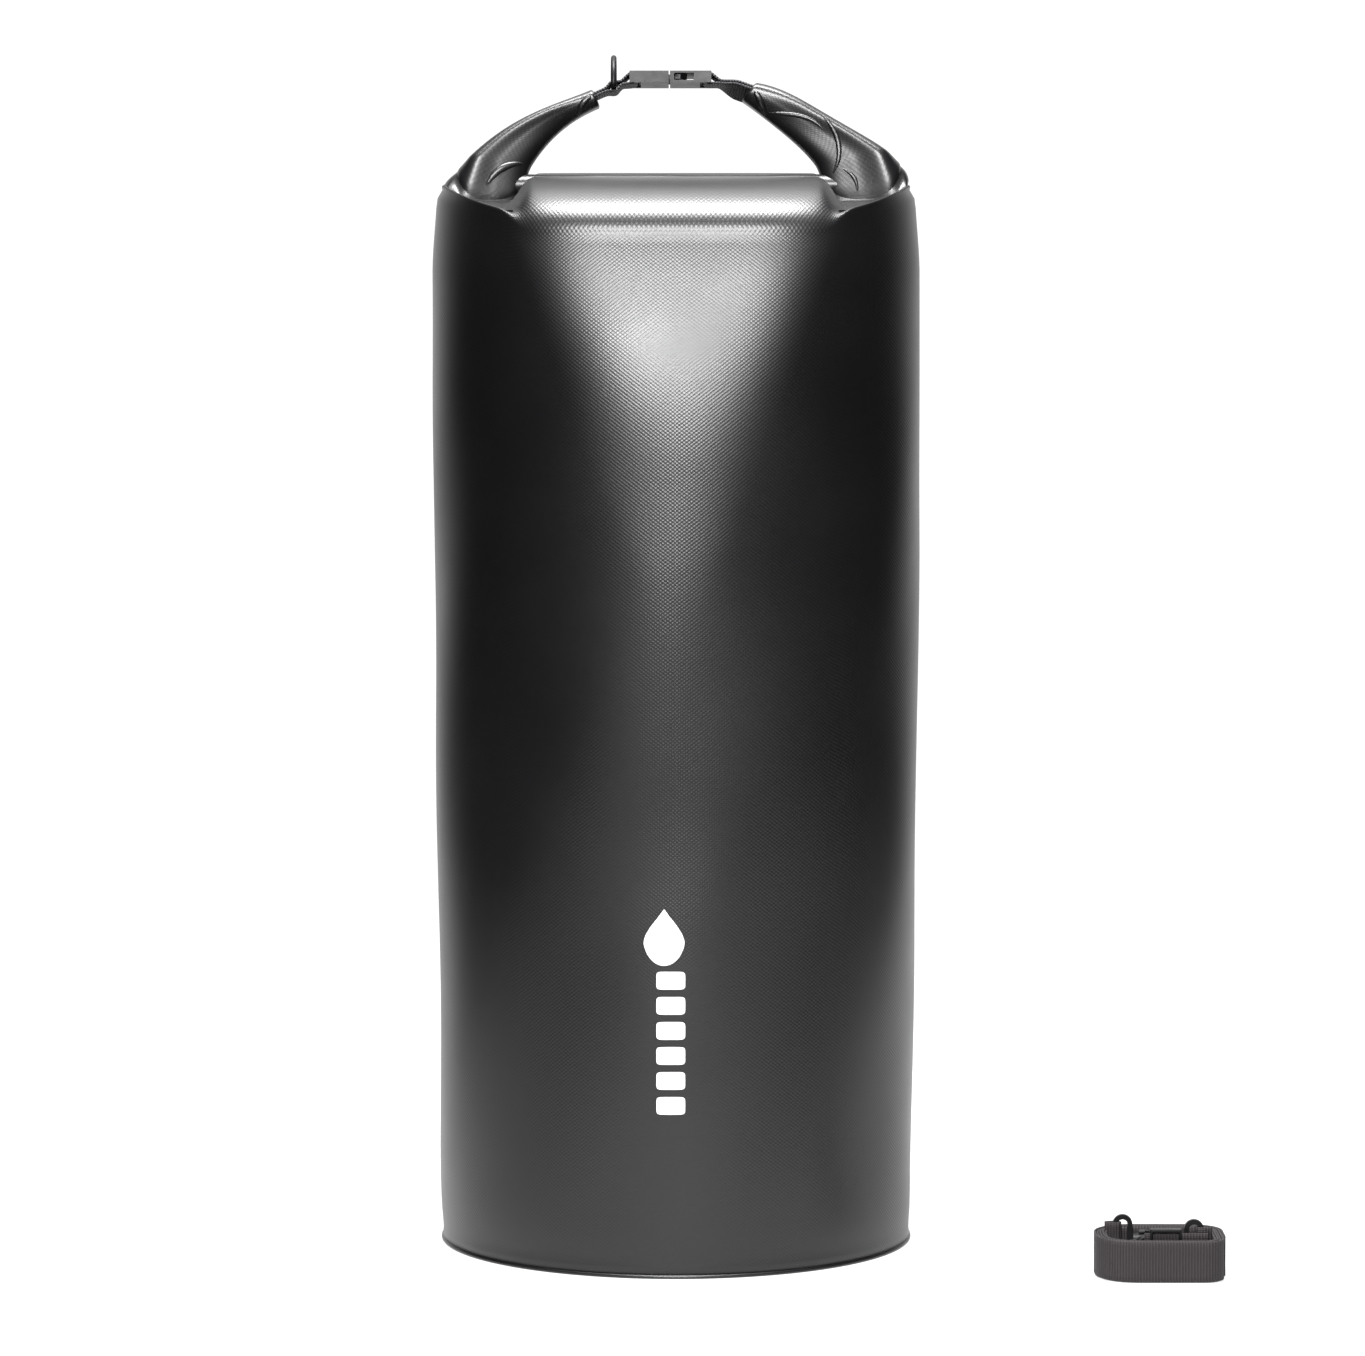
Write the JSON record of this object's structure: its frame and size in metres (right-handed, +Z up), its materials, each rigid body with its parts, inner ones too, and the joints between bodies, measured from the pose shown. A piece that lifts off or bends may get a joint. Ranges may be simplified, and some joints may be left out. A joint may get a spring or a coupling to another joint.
{
  "type": "roll-top storage bag",
  "caption": "Tall round storage bag of coated fabric with a rolled, buckled mouth that forms the carry loop, two D-rings and a coiled detachable shoulder strap.",
  "frame": {"origin": "middle of the base's underside, where the bag stands on the floor", "axes": "+Z up along the bag, +X along the rolled mouth towards the socket half of the buckle, -Y out of the bag's printed front"},
  "size_m": [0.4819, 0.3171, 0.7343],
  "materials": {
    "coated_fabric": "satin PVC coating over a fine plain weave",
    "webbing": "matt ribbed polyester webbing",
    "strap_webbing": "matt ribbed polypropylene webbing",
    "moulded_acetal": "fine moulded grain",
    "stiffener": "smooth extruded strip",
    "print_ink": "white screen print"
  },
  "bodies": {
    "bag": {"bag_tube": "coated_fabric", "base_panel": "coated_fabric", "base_welt": "coated_fabric", "back_seam": "coated_fabric", "front_top_fold": "coated_fabric", "rear_top_fold": "coated_fabric", "mouth_neck": "coated_fabric", "ring_patch": "coated_fabric", "ring_tab": "webbing"},
    "lower_ring": {"lower_d_ring": "moulded_acetal"},
    "closure": {"mouth_roll": "coated_fabric", "mouth_strip": "stiffener"},
    "left_end": {"left_roll_end": "coated_fabric", "left_strip": "stiffener", "left_webbing": "webbing"},
    "top_ring": {"top_d_ring": "moulded_acetal"},
    "right_end": {"right_roll_end": "coated_fabric", "right_strip": "stiffener", "right_webbing": "webbing"},
    "plug": {"buckle_plug": "moulded_acetal"},
    "front_latch": {"front_latch": "moulded_acetal"},
    "rear_latch": {"rear_latch": "moulded_acetal"},
    "socket": {"buckle_socket": "moulded_acetal"},
    "strap": {"strap_coil": "strap_webbing", "strap_run": "strap_webbing", "strap_ends": "strap_webbing", "rear_hook_eye": "moulded_acetal", "front_hook_eye": "moulded_acetal"},
    "slider": {"strap_slider": "moulded_acetal"},
    "rear_hook": {"rear_hook": "moulded_acetal"},
    "rear_gate": {"rear_hook_gate": "moulded_acetal"},
    "front_hook": {"front_hook": "moulded_acetal"},
    "front_gate": {"front_hook_gate": "moulded_acetal"}
  },
  "joints": [
    {"name": "handle_tilt", "type": "hinge", "parent": "bag", "child": "closure", "pos_m": [0, 0, 0.654], "axis": [1, 0, 0], "range_deg": [-15, 15]},
    {"name": "left_end_swing", "type": "hinge", "parent": "closure", "child": "left_end", "pos_m": [-0.136, 0, 0.654], "axis": [0, -0.9925, 0.1219], "range_deg": [0, 100], "deforming": ["front_latch", "rear_latch"]},
    {"name": "right_end_swing", "type": "hinge", "parent": "closure", "child": "right_end", "pos_m": [0.136, 0, 0.654], "axis": [0, 0.9925, -0.1219], "range_deg": [0, 100]},
    {"name": "plug_pivot", "type": "hinge", "parent": "left_end", "child": "plug", "pos_m": [-0.0265, 0.00802, 0.71934], "axis": [0, -0.9925, 0.1219], "range_deg": [-100, 0]},
    {"name": "socket_pivot", "type": "hinge", "parent": "right_end", "child": "socket", "pos_m": [0.0197, 0.00802, 0.71934], "axis": [0, 0.9925, -0.1219], "range_deg": [-100, 0]},
    {"name": "top_ring_swing", "type": "hinge", "parent": "left_end", "child": "top_ring", "pos_m": [-0.0383, 0.00737, 0.71406], "axis": [0, 0.9925, -0.1219], "range_deg": [-60, 30]},
    {"name": "front_latch_squeeze", "type": "hinge", "parent": "plug", "child": "front_latch", "pos_m": [-0.0063, -0.00329, 0.72073], "axis": [0, 0.1219, 0.9925], "range_deg": [0, 13], "stiffness_Nm_per_rad": 0.05},
    {"name": "rear_latch_squeeze", "type": "hinge", "parent": "plug", "child": "rear_latch", "pos_m": [-0.0063, 0.01934, 0.71795], "axis": [0, 0.1219, 0.9925], "range_deg": [-13, 0], "stiffness_Nm_per_rad": 0.05},
    {"name": "lower_ring_swing", "type": "hinge", "parent": "bag", "child": "lower_ring", "pos_m": [0, 0.15194, 0.095], "axis": [1, 0, 0], "range_deg": [0, 150]},
    {"name": "strap_lift", "type": "slide", "parent": "bag", "child": "strap", "axis": [0, 0, 1], "range_m": [0, 0.3]},
    {"name": "slider_slide", "type": "slide", "parent": "strap", "child": "slider", "axis": [1, 0, 0], "range_m": [0, 0.008]},
    {"name": "rear_hook_swivel", "type": "hinge", "parent": "strap", "child": "rear_hook", "pos_m": [0.2774, -0.11499, 0.0172], "axis": [1, 0, 0], "continuous": true},
    {"name": "rear_gate_swing", "type": "hinge", "parent": "rear_hook", "child": "rear_gate", "pos_m": [0.2858, -0.11499, 0.0232], "axis": [0, 1, 0], "range_deg": [0, 25], "stiffness_Nm_per_rad": 0.02},
    {"name": "front_hook_swivel", "type": "hinge", "parent": "strap", "child": "front_hook", "pos_m": [0.3066, -0.13198, 0.0172], "axis": [-1, 0, 0], "continuous": true},
    {"name": "front_gate_swing", "type": "hinge", "parent": "front_hook", "child": "front_gate", "pos_m": [0.2982, -0.13198, 0.0232], "axis": [0, -1, 0], "range_deg": [0, 25], "stiffness_Nm_per_rad": 0.02}
  ],
  "couplings": [
    {"joint": "right_end_swing", "follows": "left_end_swing", "ratio": 1},
    {"joint": "plug_pivot", "follows": "left_end_swing", "ratio": -1},
    {"joint": "socket_pivot", "follows": "left_end_swing", "ratio": -1},
    {"joint": "rear_latch_squeeze", "follows": "front_latch_squeeze", "ratio": -1}
  ]
}
